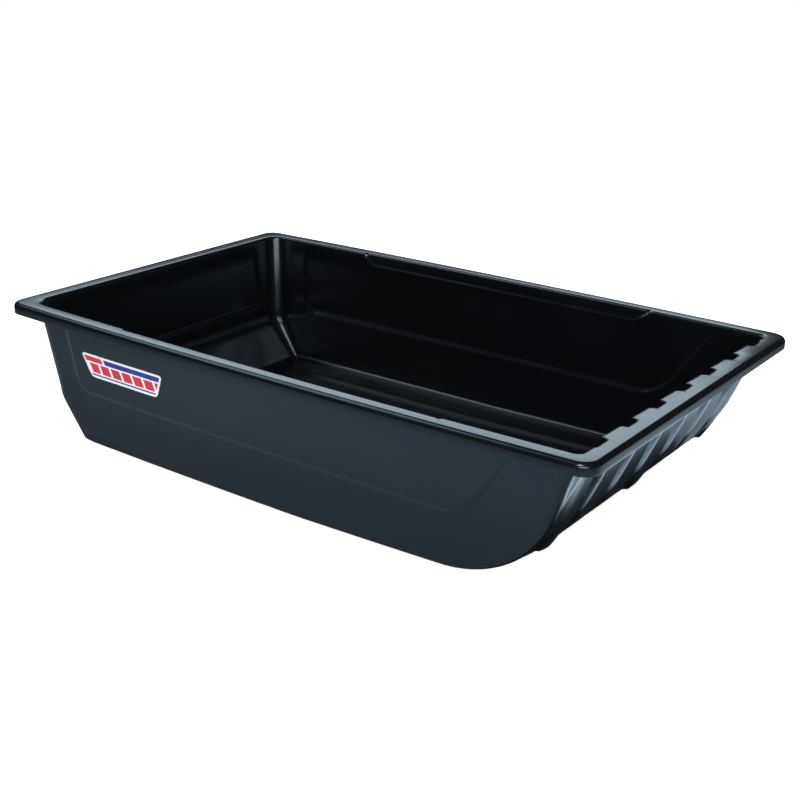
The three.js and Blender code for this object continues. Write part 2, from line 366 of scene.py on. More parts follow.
class NodeTree:
    """A node tree of any kind, to which every node is added in one way."""

    def __init__(self, tree: bpy.types.NodeTree) -> None:
        """Keeps the tree."""
        self.tree = tree

    def add(self, kind: str, settings: dict[str, Any] | None = None,
            inputs: dict[Any, Any] | None = None, take: Any = 0) -> "Value":
        """Adds one node.

        Args:
            kind: the node's type.
            settings: its options, set before anything else.
            inputs: values or links for its sockets, by name or number.
            take: name or number of the output that is returned.

        Returns:
            The chosen output.
        """
        node = self.tree.nodes.new(kind)
        for name, value in (settings or {}).items():
            setattr(node, name, value)
        for name, value in (inputs or {}).items():
            if isinstance(value, Value):
                self.tree.links.new(value.socket, node.inputs[name])
            else:
                node.inputs[name].default_value = value
        return Value(self, node.outputs[take])


class Value:
    """A node's output; Python sums on it add Math nodes."""

    def __init__(self, tree: NodeTree, socket: bpy.types.NodeSocket) -> None:
        """Keeps the tree and the socket."""
        self.tree = tree
        self.socket = socket

    def maths(self, operation: str, *values: Any) -> "Value":
        """Adds one Math node."""
        return self.tree.add("ShaderNodeMath", {"operation": operation}, dict(enumerate(values)))

    def __add__(self, other: Any) -> "Value":
        """Adds."""
        return self.maths("ADD", self, other)

    def __radd__(self, other: Any) -> "Value":
        """Adds, from the right."""
        return self.maths("ADD", other, self)

    def __sub__(self, other: Any) -> "Value":
        """Subtracts."""
        return self.maths("SUBTRACT", self, other)

    def __rsub__(self, other: Any) -> "Value":
        """Subtracts, from the right."""
        return self.maths("SUBTRACT", other, self)

    def __mul__(self, other: Any) -> "Value":
        """Multiplies."""
        return self.maths("MULTIPLY", self, other)

    def __rmul__(self, other: Any) -> "Value":
        """Multiplies, from the right."""
        return self.maths("MULTIPLY", other, self)

    def __truediv__(self, other: Any) -> "Value":
        """Divides."""
        return self.maths("DIVIDE", self, other)

    def __rtruediv__(self, other: Any) -> "Value":
        """Divides, from the right."""
        return self.maths("DIVIDE", other, self)

    def __pow__(self, other: Any) -> "Value":
        """Raises to a power."""
        return self.maths("POWER", self, other)

    def __abs__(self) -> "Value":
        """Drops the sign."""
        return self.maths("ABSOLUTE", self)

    def above(self, limit: Any) -> "Value":
        """Returns 1 where the value is over the limit."""
        return self.maths("GREATER_THAN", self, limit)

    def below(self, limit: Any) -> "Value":
        """Returns 1 where the value is under the limit."""
        return self.maths("LESS_THAN", self, limit)

    def modulo(self, step: Any) -> "Value":
        """Returns the rest after whole steps."""
        return self.maths("FLOORED_MODULO", self, step)

    def least(self, other: Any) -> "Value":
        """Returns the smaller of two values."""
        return self.maths("MINIMUM", self, other)

    def most(self, other: Any) -> "Value":
        """Returns the larger of two values."""
        return self.maths("MAXIMUM", self, other)

    def rounded(self) -> "Value":
        """Returns the nearest whole number."""
        return self.maths("ROUND", self)

    def clamped(self) -> "Value":
        """Keeps the value between 0 and 1."""
        settings = {"operation": "ADD", "use_clamp": True}
        return self.tree.add("ShaderNodeMath", settings, {0: self, 1: 0.0})

    def fit(self, span: Span, low: float, high: float) -> "Value":
        """Moves the value from one span to another, clamped.

        Args:
            span: the values that become low and high.
            low: what the span's first value becomes.
            high: what its second value becomes.

        Returns:
            The moved value.
        """
        return self.tree.add("ShaderNodeMapRange", {"clamp": True}, {
            "Value": self, "From Min": span[0], "From Max": span[1],
            "To Min": low, "To Max": high})


class ShaderTree(NodeTree):
    """Builds the shader of a material or of the world."""

    def __init__(self, owner: Any, output: str = "ShaderNodeOutputMaterial") -> None:
        """Empties the owner's tree.

        Args:
            owner: the material or the world.
            output: type of the output node.
        """
        owner.use_nodes = True
        owner.node_tree.nodes.clear()
        super().__init__(owner.node_tree)
        self.owner = owner
        self.output = self.tree.nodes.new(output)

    def place(self) -> Value:
        """Returns the Object coordinates."""
        return self.add("ShaderNodeTexCoord", take="Object")

    def axes(self, vector: Value) -> tuple[Value, Value, Value]:
        """Splits a vector into its three parts.

        Args:
            vector: the vector.

        Returns:
            Its X, Y and Z.
        """
        first = self.add("ShaderNodeSeparateXYZ", inputs={"Vector": vector})
        outputs = first.socket.node.outputs
        return first, Value(self, outputs[1]), Value(self, outputs[2])

    def stretch(self, vector: Value, scale: Place) -> Value:
        """Scales a place, so that a pattern is drawn out along an axis."""
        return self.add("ShaderNodeMapping", inputs={"Vector": vector, "Scale": scale})

    def noise(self, vector: Value, scale: float, detail: float = 2.0, rough: float = 0.5) -> Value:
        """Returns noise from 0 to 1."""
        return self.add("ShaderNodeTexNoise", inputs={
            "Vector": vector, "Scale": scale, "Detail": detail, "Roughness": rough})

    def blend(self, share: Any, first: Any, second: Any) -> Value:
        """Mixes two colours."""
        inputs = {0: share, 6: first, 7: second}
        return self.add("ShaderNodeMix", {"data_type": "RGBA"}, inputs, take=2)

    def bump(self, height: Value, distance: float, under: Value | None = None) -> Value:
        """Turns a height into a bent normal.

        Args:
            height: the relief, from 0 to 1.
            distance: its height in metres.
            under: another bent normal that it lies on.

        Returns:
            The normal.
        """
        inputs = {"Height": height, "Distance": distance, "Strength": 1.0}
        if under:
            inputs["Normal"] = under
        return self.add("ShaderNodeBump", inputs=inputs, take="Normal")

    def ray(self, kind: str) -> Value:
        """Returns 1 for one kind of ray."""
        return self.add("ShaderNodeLightPath", take=kind)

    def glow(self, colour: Colour, strength: float) -> Value:
        """Returns a shader that glows evenly."""
        return self.add("ShaderNodeEmission", inputs={"Color": colour, "Strength": strength})

    def either(self, share: Any, first: Value, second: Value) -> Value:
        """Mixes two shaders."""
        return self.add("ShaderNodeMixShader", inputs={0: share, 1: first, 2: second})

    def finish(self, shader: Value) -> Any:
        """Links the shader to the output and returns the material or the world."""
        self.tree.links.new(shader.socket, self.output.inputs["Surface"])
        return self.owner


@dataclass(frozen=True)
class MouldedPlastic:
    """Charcoal polyethylene with a soft sheen, fine grain and light handling marks."""

    name: str = "moulded_plastic"
    dark: Colour = (0.0022, 0.0027, 0.0034, 1.0)
    pale: Colour = (0.0032, 0.0038, 0.0046, 1.0)
    scuffed: Colour = (0.030, 0.034, 0.040, 1.0)
    sheen: Colour = (0.80, 0.95, 1.10, 1.0)
    roughness: Span = (0.17, 0.22)
    cloud_scale: float = 9.0
    cloud_span: Span = (0.3, 0.7)
    scratch_stretch: Place = (2.0, 60.0, 60.0)
    scratch_scale: float = 9.0
    scratch_span: Span = (0.62, 0.72)
    rub_height: float = 4 * MM
    rub_share: float = 0.8
    rub_rough: float = 0.2
    hair_stretch: Place = (8.0, 60.0, 60.0)
    hair_scale: float = 14.0
    hair_span: Span = (0.45, 0.75)
    hair_rough: float = 0.05
    grain_scale: float = 900.0
    grain: float = 0.006 * MM
    sag_scale: float = 7.0
    sag: float = 0.25 * MM

    def build(self) -> bpy.types.Material:
        """Builds the material: soft clouds, hair lines, and scratches on the rubbed foot.

        Returns:
            The material.
        """
        paint = ShaderTree(bpy.data.materials.new(self.name))
        place = paint.place()
        height = paint.axes(place)[2]
        cloud = paint.noise(place, self.cloud_scale, 3.0)
        base = paint.blend(cloud.fit(self.cloud_span, 0.0, 1.0), self.dark, self.pale)
        along = paint.stretch(place, self.scratch_stretch)
        scratch = paint.noise(along, self.scratch_scale, 4.0, 0.6).fit(self.scratch_span, 0.0, 1.0)
        rub = scratch * height.fit((0.0, self.rub_height), 1.0, 0.0) * self.rub_share
        drawn = paint.stretch(place, self.hair_stretch)
        hair = paint.noise(drawn, self.hair_scale, 3.0, 0.7)
        rough = cloud.fit(self.cloud_span, *self.roughness)
        rough = rough + hair.fit(self.hair_span, 0.0, self.hair_rough) + rub * self.rub_rough
        soft = paint.bump(paint.noise(place, self.sag_scale, 1.0), self.sag)
        fine = paint.noise(place, self.grain_scale, 2.0, 0.6)
        return paint.finish(paint.add("ShaderNodeBsdfPrincipled", inputs={
            "Base Color": paint.blend(rub, base, self.scuffed), "Roughness": rough,
            "Normal": paint.bump(fine, self.grain, soft), "Specular Tint": self.sheen}))


@dataclass(frozen=True)
class PrintedFilm:
    """White vinyl with a row of slanted red blocks under a blue bar, inside a white border."""

    name: str = "printed_film"
    white: Colour = (0.80, 0.81, 0.84, 1.0)
    red: Colour = (0.58, 0.004, 0.025, 1.0)
    blue: Colour = (0.003, 0.009, 0.26, 1.0)
    bow: float = -206 * MM
    length: float = 186 * MM
    top: float = 174.5 * MM
    height: float = 40 * MM
    slant: float = 17 * MM
    border: float = 4 * MM
    block: float = 20 * MM
    block_gap: float = 5 * MM
    block_start: float = 10 * MM
    tilt: float = 0.3
    flag: float = 44 * MM
    bar: float = 8.5 * MM
    line: float = 2.6 * MM
    line_gap: float = 2.6 * MM
    dust_scale: float = 220.0
    dust_span: Span = (0.3, 0.7)
    roughness: Span = (0.26, 0.38)
    ink_share: float = 0.4
    dust_share: float = 0.3
    relief: float = 0.03 * MM
    coat: float = 0.3

    def build(self) -> bpy.types.Material:
        """Builds the material, with the print set out from the film's edges.

        Returns:
            The material.
        """
        paint = ShaderTree(bpy.data.materials.new(self.name))
        place = paint.place()
        x, _, z = paint.axes(place)
        drop = self.top - z
        lean = self.slant / self.height
        left = x - (self.bow - self.length) - drop * lean
        right = self.bow - x - drop * lean
        inside = left.above(self.border) * right.above(self.border)
        row_top = self.border + self.bar + self.line_gap
        row_end = self.height - self.border
        top_row = drop.above(self.border) * drop.below(self.border + self.bar)
        row = drop.above(row_top) * drop.below(row_end - self.line - self.line_gap)
        leant = right + drop * (lean + self.tilt) - self.border
        blocks = leant.modulo(self.block + self.block_gap).below(self.block)
        line = drop.above(row_end - self.line) * drop.below(row_end)
        flag = top_row * left.below(self.flag)
        red_part = flag.most(row * blocks * left.above(self.block_start)) * inside
        blue_part = (top_row * left.above(self.flag + self.block_gap)).most(line) * inside
        base = paint.blend(red_part, self.white, self.red)
        dust = paint.noise(place, self.dust_scale, 3.0)
        ink = red_part.most(blue_part) * self.ink_share + dust * self.dust_share
        return paint.finish(paint.add("ShaderNodeBsdfPrincipled", inputs={
            "Base Color": paint.blend(blue_part, base, self.blue),
            "Roughness": dust.fit(self.dust_span, *self.roughness),
            "Normal": paint.bump(ink, self.relief), "Coat Weight": self.coat}))


@dataclass(frozen=True)
class StudioWhite:
    """The pale floor: white to the camera, with the sled's shadow.

    Gloss sees another floor, of painted light: a nearly black glow that is painted shade under the
    sled, a cool glowing patch of painted light around the sled that is dimmer astern, and one
    strongly glowing strip by the bow, a painted highlight that draws the light lines on the ribs'
    near flanks. The patch and the strip light nothing else.
    """

    name: str = "studio_white"
    colour: Colour = (0.90, 0.90, 0.90, 1.0)
    fleck: Colour = (0.92, 0.92, 0.92, 1.0)
    fleck_scale: float = 3.0
    white: Colour = (1.0, 1.0, 1.0, 1.0)
    glow: float = 0.82
    # What gloss sees below is painted light: glows in this cool colour stand in for a lit floor.
    shine: Colour = (0.70, 0.87, 1.0, 1.0)
    painted_glow_strength: float = 0.66
    lit_share: float = 0.45
    foot: Span = (0.58, 0.285)
    rise: Span = (-0.02, 0.01)
    swell: Span = (0.05, 0.20)
    fall: Span = (0.30, 0.90)
    # Nearly black glow where the patch fades out: painted shade under the sled, and dark far off.
    dark: float = 0.03
    first_share: float = 0.62
    # Dims the painted glow astern of the sled.
    astern: Span = (-0.80, -0.30)
    astern_share: float = 0.55
    # A strongly glowing strip by the bow, seen only by gloss: a painted highlight that draws the
    # light lines on the ribs' near flanks.
    strip_rise: Span = (0.52, 0.56)
    strip_fall: Span = (0.66, 0.72)
    strip_near: Span = (-0.22, -0.12)
    strip_far: Span = (0.40, 0.46)
    painted_highlight_strength: float = 4.2

    def painted_light_patch(self, paint: ShaderTree, x: Value, y: Value) -> Value:
        """Paints what gloss sees of the floor with glows: painted light around the sled, painted
        shade under it.

        Args:
            paint: the floor's tree.
            x: place along the sled.
            y: place across the sled.

        Returns:
            The shader.
        """
        # Painted shade under the sled's footprint: the glow rises only outside it, then fades far
        # off.
        away = (abs(x) - self.foot[0]).most(abs(y) - self.foot[1])
        first = away.fit(self.rise, 0.0, self.first_share)
        more = away.fit(self.swell, 0.0, 1.0 - self.first_share)
        fade = (first + more) * away.fit(self.fall, 1.0, 0.0)
        fade = fade * x.fit(self.astern, self.astern_share, 1.0)
        tinted = paint.add("ShaderNodeBsdfDiffuse", inputs={"Color": self.shine})
        # Painted glow mixed with a diffuse floor that the lamps really light.
        painted_glow_and_diffuse = paint.either(self.lit_share, paint.glow(self.shine, self.painted_glow_strength), tinted)
        painted_light_patch = paint.either(fade, paint.glow(self.shine, self.dark), painted_glow_and_diffuse)
        # Painted highlight: a glowing strip by the bow.
        painted_highlight_strip = x.fit(self.strip_rise, 0.0, 1.0) * x.fit(self.strip_fall, 1.0, 0.0)
        painted_highlight_strip = painted_highlight_strip * y.fit(self.strip_near, 0.0, 1.0) * y.fit(self.strip_far, 1.0, 0.0)
        return paint.either(painted_highlight_strip, painted_light_patch, paint.glow(self.shine, self.painted_highlight_strength))

    def build(self) -> bpy.types.Material:
        """Builds the material.

        Returns:
            The material.
        """
        paint = ShaderTree(bpy.data.materials.new(self.name))
        place = paint.place()
        x, y, _ = paint.axes(place)
        tone = paint.blend(paint.noise(place, self.fleck_scale), self.colour, self.fleck)
        matt = paint.add("ShaderNodeBsdfDiffuse", inputs={"Color": tone})
        glow = paint.glow(self.white, self.glow)
        seen = paint.add("ShaderNodeAddShader", inputs={0: matt, 1: glow})
        # Gloss sees the painted light patch and strip instead of the matt floor.
        plain = paint.either(paint.ray("Is Glossy Ray"), matt, self.painted_light_patch(paint, x, y))
        return paint.finish(paint.either(paint.ray("Is Camera Ray"), plain, seen))


class FieldTree(NodeTree):
    """Builds one Geometry Nodes tree, with Python sums for its fields."""

    def __init__(self, name: str) -> None:
        """Starts a tree with one geometry input and output."""
        super().__init__(bpy.data.node_groups.new(name, "GeometryNodeTree"))
        for way in ("INPUT", "OUTPUT"):
            self.tree.interface.new_socket(
                "Geometry", in_out=way, socket_type="NodeSocketGeometry")
        self.start = self.tree.nodes.new("NodeGroupInput")
        self.end = self.tree.nodes.new("NodeGroupOutput")
        self.sizes: dict[str, float] = {}

    def size(self, name: str, value: float) -> Value:
        """Adds a named size as an input.

        Args:
            name: the input's name.
            value: what the modifier sets it to.

        Returns:
            The input inside the tree.
        """
        self.tree.interface.new_socket(name, in_out="INPUT", socket_type="NodeSocketFloat")
        self.sizes[name] = value
        return Value(self, self.start.outputs[name])

    def named(self, name: str, kind: str = "FLOAT") -> Value:
        """Reads an attribute of the mesh."""
        return self.add("GeometryNodeInputNamedAttribute", {"data_type": kind}, {"Name": name})

    def close(self, geometry: Value, material: bpy.types.Material) -> None:
        """Ends the tree in Realize Instances and Set Material.

        Args:
            geometry: what the tree has made.
            material: what it is made of.
        """
        real = self.add("GeometryNodeRealizeInstances", inputs={"Geometry": geometry})
        dressed = self.add("GeometryNodeSetMaterial", inputs={
            "Geometry": real, "Material": material})
        self.tree.links.new(dressed.socket, self.end.inputs["Geometry"])

    def bake(self, piece: bpy.types.Object) -> None:
        """Runs the tree on a piece, which keeps the result as a plain mesh with no modifier.

        Args:
            piece: the object whose mesh the tree reads.
        """
        modifier = piece.modifiers.new(self.tree.name, "NODES")
        modifier.node_group = self.tree
        for item in self.tree.interface.items_tree:
            if item.item_type == "SOCKET" and item.in_out == "INPUT" and item.name in self.sizes:
                modifier[item.identifier] = self.sizes[item.name]
        bpy.context.view_layer.update()
        graph = bpy.context.evaluated_depsgraph_get()
        mesh = bpy.data.meshes.new_from_object(piece.evaluated_get(graph), depsgraph=graph)
        piece.modifiers.remove(modifier)
        piece.data = mesh


@dataclass(frozen=True)
class RibPress:
    """Presses the ribs and toes into the tub's sheet with Geometry Nodes.

    A rib keeps its flat crest, and the valleys beside it are sunk. The outer side of the two
    outermost ribs is never sunk deeper than on the floor, so that the bow's corners stay plain.
    """

    sizes: RibSizes

    def press(self, piece: bpy.types.Object, material: bpy.types.Material) -> None:
        """Moves each spot outward by the rib's profile.

        Args:
            piece: the tub before its ribs, with the rib values as attributes.
            material: what the pressed tub is made of.
        """
        sizes, tree = self.sizes, FieldTree("rib_press")
        pitch = tree.size("Rib Pitch", sizes.pitch)
        count = tree.size("Ribs Each Side", float(sizes.each_side))
        flat = tree.size("Flat Share", sizes.flat_share)
        toe_flat = tree.size("Toe Flat Share", sizes.toe_flat_share)
        toe_share = tree.size("Toe Share", sizes.toe_share)
        top_half = tree.size("Rib Top Half", sizes.top_half)
        full_half = tree.size("Rib Half", sizes.half)
        power = tree.size("Valley Power", sizes.valley_power)
        floor_height = tree.size("Floor Rib Height", sizes.height)
        across, height, half, toe = (tree.named(name) for name in RIB_VALUES)
        rib = (across / pitch).rounded().least(count).most(count * -1.0)
        share = abs(across - rib * pitch) / half
        flank = ((share - flat) / (1.0 - flat)).clamped()
        soft = 1.0 - (half - top_half) / (full_half - top_half)
        easing = {"interpolation_type": "SMOOTHSTEP"}
        eased = tree.add("ShaderNodeMapRange", easing, {"Value": flank})
        profile = tree.add("ShaderNodeMix", inputs={0: soft, 2: flank ** power, 3: eased})
        outer = abs(across).above(count * pitch)
        low = height.least(floor_height)
        deep = tree.add("ShaderNodeMix", inputs={0: outer, 2: height, 3: low})
        crown = ((toe_share - share) / (toe_share - toe_flat)).clamped()
        has_toe = rib.modulo(count).below(0.5)
        rise = toe * (crown * has_toe) - deep * profile
        shift = tree.add("ShaderNodeVectorMath", {"operation": "SCALE"}, {
            0: tree.named("out", "FLOAT_VECTOR"), "Scale": rise})
        moved = tree.add("GeometryNodeSetPosition", inputs={
            "Geometry": Value(tree, tree.start.outputs["Geometry"]), "Offset": shift})
        tree.close(moved, material)
        tree.bake(piece)


@dataclass
class Tub:
    """The moulded hull: tub, ribs, pressed panels and rolled rim in one closed mesh."""

    tub: TubSizes = field(default_factory=TubSizes)
    rim: RimSizes = field(default_factory=RimSizes)
    press: PressSizes = field(default_factory=PressSizes)
    ribs: RibSizes = field(default_factory=RibSizes)
    steps: MeshSteps = field(default_factory=MeshSteps)
    plastic: MouldedPlastic = field(default_factory=MouldedPlastic)

    def bow_out(self, x: float) -> float:
        """Returns how far the long side bows outward."""
        share = 2 * x / self.rim.length
        return self.tub.side_bow * (1 - share * share)

    def side_half(self, x: float, depth: float) -> float:
        """Returns half the width of the tub's outside."""
        half = self.rim.width / 2 - self.tub.side_ledge
        return half - depth * math.tan(self.tub.draft) + self.bow_out(x)

    def transom_x(self, depth: float) -> float:
        """Returns where the transom is at a depth."""
        top = self.tub.stern_ledge - self.rim.length / 2
        return top + depth * math.tan(self.tub.transom_lean)

    def bow_x(self, depth: float) -> float:
        """Returns where the bow's upright is at a depth."""
        return self.rim.length / 2 - self.tub.bow_ledge - depth * math.tan(self.tub.bow_lean)

    def bow_span(self) -> Span:
        """Returns where on the rim the bow's columns start and end."""
        end = self.bow_x(0.0) - self.tub.edge / math.cos(self.tub.bow_lean)
        return self.press.bow + self.press.run / 2, end

    @staticmethod
    def outline_round(corner: Span, angles: Sequence[float], radius: float) -> Arc:
        """Rounds a corner of the side outline.

        Args:
            corner: where the two straights would meet, as x and depth.
            angles: outward angles of the points, from the first straight to the second.
            radius: the round's radius.

        Returns:
            The points as x, depth and angle.
        """
        half = (angles[-1] - angles[0]) / 2
        middle = angles[0] + half
        back = radius / math.cos(half)
        x, depth = corner[0] - back * math.sin(middle), corner[1] - back * math.cos(middle)
        return [(x + radius * math.sin(a), depth + radius * math.cos(a), a) for a in angles]

    def arcs(self) -> tuple[Arc, Arc, Arc]:
        """Rounds the three corners of the side outline.

        Returns:
            The points of the transom's, the slope's and the bow's rounds.
        """
        tub, ribs, steps = self.tub, self.ribs, self.steps
        transom_angle = tub.transom_lean - RIGHT_ANGLE
        slope_angle = tub.slope_lean - RIGHT_ANGLE
        corner = (self.transom_x(tub.transom_depth), tub.transom_depth)
        run = (tub.height - tub.transom_depth) * math.tan(tub.slope_lean)
        rise = math.tan(tub.fore_lean)
        drop = tub.height - (self.bow_x(0.0) - tub.fore_start) * rise
        depth = drop / (1 - math.tan(tub.bow_lean) * rise)
        upright = RIGHT_ANGLE - tub.bow_lean
        marks = (tub.fore_lean, ribs.toe_foot, ribs.toe_tip, ribs.toe_end, upright)
        turns = divide(marks, steps.bow_round) + [upright]
        first = spread(transom_angle, slope_angle, steps.transom_round) + [slope_angle]
        second = spread(slope_angle, 0.0, steps.slope_round) + [0.0]
        return (
            self.outline_round(corner, first, tub.transom_round),
            self.outline_round((corner[0] + run, tub.height), second, tub.slope_round),
            self.outline_round((self.bow_x(depth), depth), turns, tub.bow_round),
        )

    @cached_property
    def floor_start(self) -> float:
        """Returns where the stern's slope has turned into the floor."""
        return self.arcs()[1][-1][0]

    def column_tops(self) -> list[float]:
        """Sets out the side wall's columns, fine where the panel and the grip end.

        Returns:
            Where the columns start on the rim.
        """
        press, steps = self.press, self.steps
        half = press.run / 2
        return divide((
            press.stern - half, press.stern + half, press.stern + steps.stern_reach,
            press.grip_stern - half, press.grip_stern + steps.grip_reach,
            press.grip_bow - steps.grip_reach, press.grip_bow + half,
            press.bow - steps.bow_reach, press.bow - half, press.bow + half), steps.columns)

    def columns(self) -> list[Station]:
        """Sets out the stations where the side wall's columns end.

        Returns:
            The stations from the transom's round to the bow's.
        """
        tub, press = self.tub, self.press
        transom_arc, slope_arc, bow_arc = self.arcs()
        tops = self.column_tops()
        side = self.transom_x(0.0) + tub.stern_corner
        high, low = transom_arc[-1], slope_arc[0]
        slope = [(mix(high[0], low[0], s), mix(high[1], low[1], s), high[2])
                 for s in spread(0.0, 1.0, self.steps.slope)[1:]]
        points = transom_arc + slope + slope_arc
        lengths = [math.dist(a[:2], b[:2]) for a, b in zip(points, points[1:])]
        made = []
        for i, (x, depth, angle) in enumerate(points):
            edge = mix(tub.stern_corner, tub.slope_edge, sum(lengths[:i]) / sum(lengths))
            made.append(Station(x, depth, angle, edge, mix(side, tops[0], i / len(points))))
        start, end = self.bow_span()
        for top in tops:
            share = (top - press.stern) / (start - press.stern)
            x = mix(press.floor_stern, bow_arc[0][0], share)
            fore = max(x - tub.fore_start, 0.0)
            angle = tub.fore_lean * smooth(fore / tub.fore_ease)
            depth = tub.height - fore * math.tan(tub.fore_lean)
            made.append(Station(x, depth, angle, tub.edge, top))
        for i, (x, depth, angle) in enumerate(bow_arc):
            top = mix(start, end, i / (len(bow_arc) - 1))
            made.append(Station(x, depth, angle, tub.edge, top))
        return made

    def row_depths(self, top: float, bottom: float) -> list[float]:
        """Sets out the side wall's rows, fine where the grip and the panel end.

        Args:
            top: depth of the first row.
            bottom: depth of the last row.

        Returns:
            The rows' depths.
        """
        press, steps = self.press, self.steps
        half = press.run / 2
        low = min(press.depth + half, bottom - steps.foot_reach)
        fit = low / (press.depth + half)
        marks = [top / fit, *steps.rim_rows]
        marks += divide((
            press.grip_depth - steps.grip_row_reach, press.grip_depth + steps.grip_row_reach,
            press.depth - steps.panel_reach, press.depth - half, press.depth + half), steps.rows)
        rows = [fit * mark for mark in marks]
        return rows + spread(low, bottom, steps.foot_rows) + [bottom]

    def stations(self, top: float) -> list[Station]:
        """Sets out all stations of the outline.

        Args:
            top: depth where the skin ends under the rim.

        Returns:
            The stations from the transom's top to the bow's.
        """
        columns = self.columns()
        ends = []
        for corner, place in ((columns[0], self.transom_x), (columns[-1], self.bow_x)):
            room = corner.depth - top
            ends.append([
                replace(corner, x=place(d), depth=d, level=1 - smooth((d - top) / room))
                for d in self.row_depths(top, corner.depth)[:-1]])
        return ends[0] + columns + ends[1][::-1]

    def rib_values(self, station: Station) -> dict[str, float]:
        """Measures the ribs at a station.

        Args:
            station: the place on the outline.

        Returns:
            Their height, half width and toe.
        """
        ribs = self.ribs
        rise = narrow = 0.0
        if station.angle > self.tub.fore_lean / 2:
            rise = smooth((station.angle - ribs.rise_foot) / ribs.rise_turn)
            narrow = clamp(1 - station.depth / ribs.narrow_depth) ** 2
        run = smooth((station.x - self.floor_start) / ribs.run)
        return {
            "height": run * mix(ribs.height, ribs.top_height, rise),
            "half": mix(ribs.half, ribs.top_half, narrow),
            "toe": ribs.toe(station.angle),
        }

    def crown(self, station: Station, y: float) -> float:
        """Measures the crown of the bow's ribbed part between its side edges.

        Args:
            station: the place on the outline.
            y: the place across the sled.

        Returns:
            How far it stands out.
        """
        tub = self.tub
        room = self.side_half(station.x, station.depth) - station.edge - abs(y)
        turn = smooth((station.angle - tub.fore_lean) / (tub.crown_full - tub.fore_lean))
        fade = smooth(station.depth / tub.crown_fade)
        return tub.crown * turn * smooth(room / tub.crown_run) * fade

    def spot(self, station: Station, y: float, out: float, across: float) -> Spot:
        """Makes a spot at a station.

        Args:
            station: the place on the outline.
            y: the spot's place across the sled.
            out: how far it lies outside the outline.
            across: where the rib profile is read.

        Returns:
            The spot with the rib values of its station.
        """
        direction = station.out()
        co = Vector((station.x, y, self.tub.height - station.depth)) + direction * out
        return Spot(co, direction, across, **self.rib_values(station))

    def edge_spots(self, station: Station, side: Side, inset: float) -> list[Spot]:
        """Makes the round between the outline and the side wall.

        Args:
            station: the place on the outline.
            side: the side that the round is on.
            inset: how far the skin lies inside the tub's outside.

        Returns:
            The round's spots, from the outline to the wall.
        """
        tub, steps = self.tub, self.steps.edge
        slant = (1 - station.level) * math.atan(-station.normal()[1] * math.tan(tub.draft))
        foot = self.spot(station, 0.0, -station.edge * (1 - math.sin(slant)), 0.0).co
        half = self.side_half(foot.x, tub.height - foot.z) - station.edge * math.cos(slant)
        radius = station.edge - inset
        spots = []
        for i in range(steps + 1):
            turn = (RIGHT_ANGLE - slant) * i / steps
            y = side.value * (half + radius * math.sin(turn))
            out = radius * math.cos(turn) - station.edge
            spots.append(self.spot(station, y, out, side.value * half))
        return spots

    def rib_lines(self, station: Station, half: float) -> list[float]:
        """Sets out the mesh lines along the ribs, clear of the edge rounds.

        Args:
            station: the place on the outline.
            half: where the edge round starts across the sled.

        Returns:
            The lines' places across the sled.
        """
        ribs, steps = self.ribs, self.steps
        width = self.rib_values(station)["half"]
        near = [*steps.crest_shares, ribs.toe_flat_share, ribs.toe_share, *steps.toe_shares,
                ribs.flat_share, *steps.flank_shares]
        shares = [-s for s in reversed(near)] + [0.0] + near
        lines = [rib * ribs.pitch + share * width
                 for rib in range(-ribs.each_side, ribs.each_side + 1) for share in shares]
        kept = []
        for i, y in enumerate(lines):
            room = half - (min(i, len(lines) - 1 - i) + 1) * self.tub.line_gap
            kept.append(min(max(y, -room), room))
        return kept

    def wall_column(self, station: Station, foot: Spot, side: Side, inset: float,
                    top: float) -> list[Spot]:
        """Makes one column of the side wall.

        Args:
            station: where the column ends.
            foot: the edge round's last spot, where the column ends.
            side: the side that the wall is on.
            inset: how far the skin lies inside the tub's outside.
            top: depth of the first row.

        Returns:
            The column's spots, from the rim down to the edge round.
        """
        tub = self.tub
        foot_depth = tub.height - foot.co.z
        start, end = self.bow_span()
        pull = clamp((station.top - start) / (end - start))
        column = []
        for depth in self.row_depths(top, foot_depth)[:-1]:
            x = mix(station.top, foot.co.x, (depth - top) / (foot_depth - top))
            half = self.side_half(x, depth) + self.press.side(station.top, depth) - inset
            co = Vector((x, side.value * half, tub.height - depth))
            if pull > 0:
                angle = RIGHT_ANGLE - tub.bow_lean
                level = replace(station, x=self.bow_x(depth), depth=depth, angle=angle)
                out = Vector((pull / math.cos(tub.bow_lean), 0.0, 0.0))
                column.append(Spot(co, out, foot.across, **self.rib_values(level)))
            else:
                column.append(Spot(co))
        return column + [foot]

    def skin(self, inset: float, top: float) -> Skin:
        """Makes the outside or the inside of the tub.

        Args:
            inset: 0 for the outside, the wall's thickness for the inside.
            top: depth under the rim where the skin ends.

        Returns:
            The skin's grids.
        """
        stations = self.stations(top)
        rows = len(self.row_depths(top, self.tub.height))
        edges = {side: [self.edge_spots(s, side, inset) for s in stations] for side in Side}
        walls = {}
        for side in Side:
            feet = [spots[-1] for spots in edges[side]]
            walls[side] = [feet[:rows]]
            for station, foot in list(zip(stations, feet))[rows:-rows]:
                walls[side].append(self.wall_column(station, foot, side, inset, top))
            walls[side].append(feet[-rows:][::-1])
        sheet = []
        for i, station in enumerate(stations):
            near, far = edges[Side.NEAR][i][0], edges[Side.FAR][i][0]
            line = [near]
            for y in self.rib_lines(station, far.co.y):
                out = self.crown(station, y) - inset
                if station.angle <= stations[0].angle:
                    out += self.press.transom(y, station.depth)
                line.append(self.spot(station, y, out, y))
            sheet.append(line + [far])
        return Skin(sheet, edges, walls)

